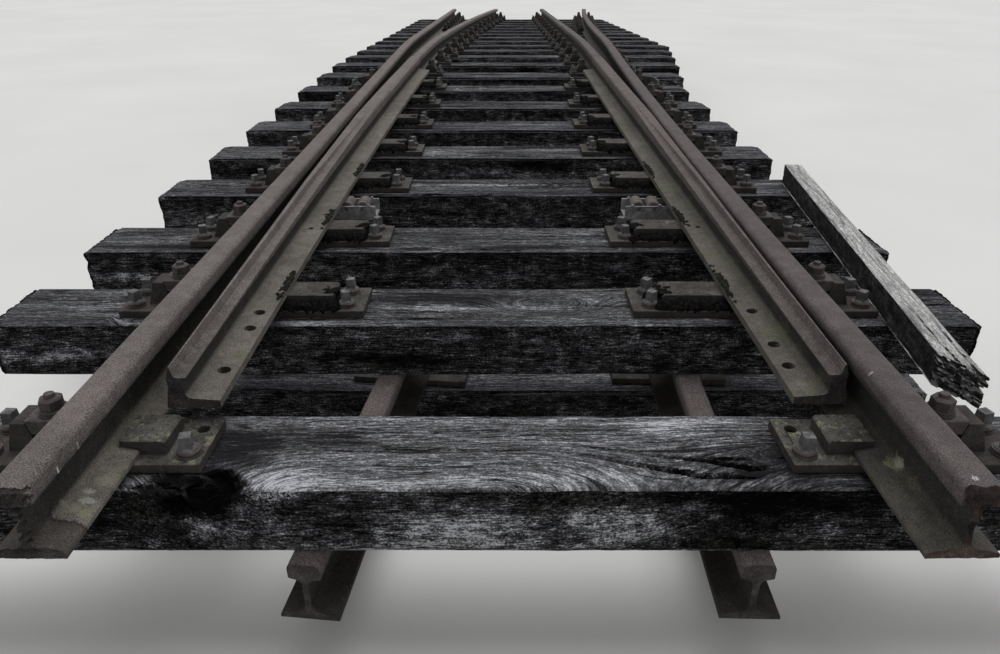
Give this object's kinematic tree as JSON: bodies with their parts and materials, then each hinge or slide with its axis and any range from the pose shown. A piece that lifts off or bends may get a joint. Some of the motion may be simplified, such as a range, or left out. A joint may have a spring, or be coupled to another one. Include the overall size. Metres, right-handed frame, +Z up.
{
  "type": "railway switch panel",
  "caption": "Cut-off railway switch panel with two movable tongues on timber sleepers, stacked on rails of a lower track, its far end bent down to the ground.",
  "frame": {"origin": "middle of the panel's plan, on the ground", "axes": "+Y along the track from the cut ends, +X to the diverging side, +Z up"},
  "size_m": [3.22, 13.1148, 0.6183],
  "materials": {
    "weathered_timber": "cracked, grey and dark",
    "pale_timber": "bleached",
    "rusty_rail": "dull rust",
    "dirty_steel": "dirt over rust",
    "rusty_fastening": "dark rust",
    "galvanised_frame": "dull grey"
  },
  "bodies": {
    "panel": {"sleeper_01": "weathered_timber", "sleeper_02": "weathered_timber", "sleeper_03": "weathered_timber", "sleeper_04": "weathered_timber", "sleeper_05": "weathered_timber", "sleeper_06": "weathered_timber", "sleeper_07": "weathered_timber", "sleeper_08": "weathered_timber", "sleeper_09": "weathered_timber", "sleeper_10": "weathered_timber", "sleeper_11": "weathered_timber", "sleeper_12": "weathered_timber", "sleeper_13": "weathered_timber", "sleeper_14": "weathered_timber", "sleeper_15": "weathered_timber", "sleeper_16": "weathered_timber", "sleeper_17": "weathered_timber", "sleeper_18": "weathered_timber", "sleeper_19": "weathered_timber", "sleeper_20": "weathered_timber", "sleeper_21": "weathered_timber", "sleeper_22": "weathered_timber", "stock_rail_left": "rusty_rail", "stock_rail_right": "rusty_rail", "closure_rail_right": "rusty_rail", "closure_rail_left": "rusty_rail", "toe_plate_left": "dirty_steel", "toe_plate_right": "dirty_steel", "slide_plates_left": "dirty_steel", "slide_plates_right": "dirty_steel", "rail_plates_left": "dirty_steel", "rail_plates_right": "dirty_steel", "stock_clamps_left": "rusty_fastening", "closure_clamps_left": "rusty_fastening", "stock_clamps_right": "rusty_fastening", "closure_clamps_right": "rusty_fastening", "roller_frame_left": "galvanised_frame", "roller_frame_right": "galvanised_frame", "bearer_rail_left": "rusty_rail", "bearer_rail_right": "rusty_rail", "bearer_plates": "dirty_steel", "lower_sleepers": "weathered_timber", "loose_timber": "pale_timber"},
    "tongue_left": {"switch_tongue_left": "rusty_rail"},
    "tongue_right": {"switch_tongue_right": "rusty_rail"},
    "roller_left_outer": {"roller_left_outer": "rusty_fastening"},
    "roller_left_inner": {"roller_left_inner": "rusty_fastening"},
    "roller_right_outer": {"roller_right_outer": "rusty_fastening"},
    "roller_right_inner": {"roller_right_inner": "rusty_fastening"}
  },
  "joints": [
    {"name": "tongue_left_swing", "type": "hinge", "parent": "panel", "child": "tongue_left", "pos_m": [-0.81801, -1.67039, 0.5023], "axis": [0, 0, 1], "range_deg": [-0.62, 0.86]},
    {"name": "tongue_right_swing", "type": "hinge", "parent": "panel", "child": "tongue_right", "pos_m": [0.5285, -1.67039, 0.5023], "axis": [0, 0, 1], "range_deg": [-1.47, 0.01]},
    {"name": "roller_left_outer_spin", "type": "hinge", "parent": "panel", "child": "roller_left_outer", "pos_m": [-0.777, -4.68739, 0.4713], "axis": [0, 1, 0], "continuous": true},
    {"name": "roller_left_inner_spin", "type": "hinge", "parent": "panel", "child": "roller_left_inner", "pos_m": [-0.717, -4.68739, 0.4713], "axis": [0, 1, 0], "continuous": true},
    {"name": "roller_right_outer_spin", "type": "hinge", "parent": "panel", "child": "roller_right_outer", "pos_m": [0.39934, -4.68739, 0.4713], "axis": [0, 1, 0], "continuous": true},
    {"name": "roller_right_inner_spin", "type": "hinge", "parent": "panel", "child": "roller_right_inner", "pos_m": [0.33934, -4.68739, 0.4713], "axis": [0, 1, 0], "continuous": true}
  ]
}
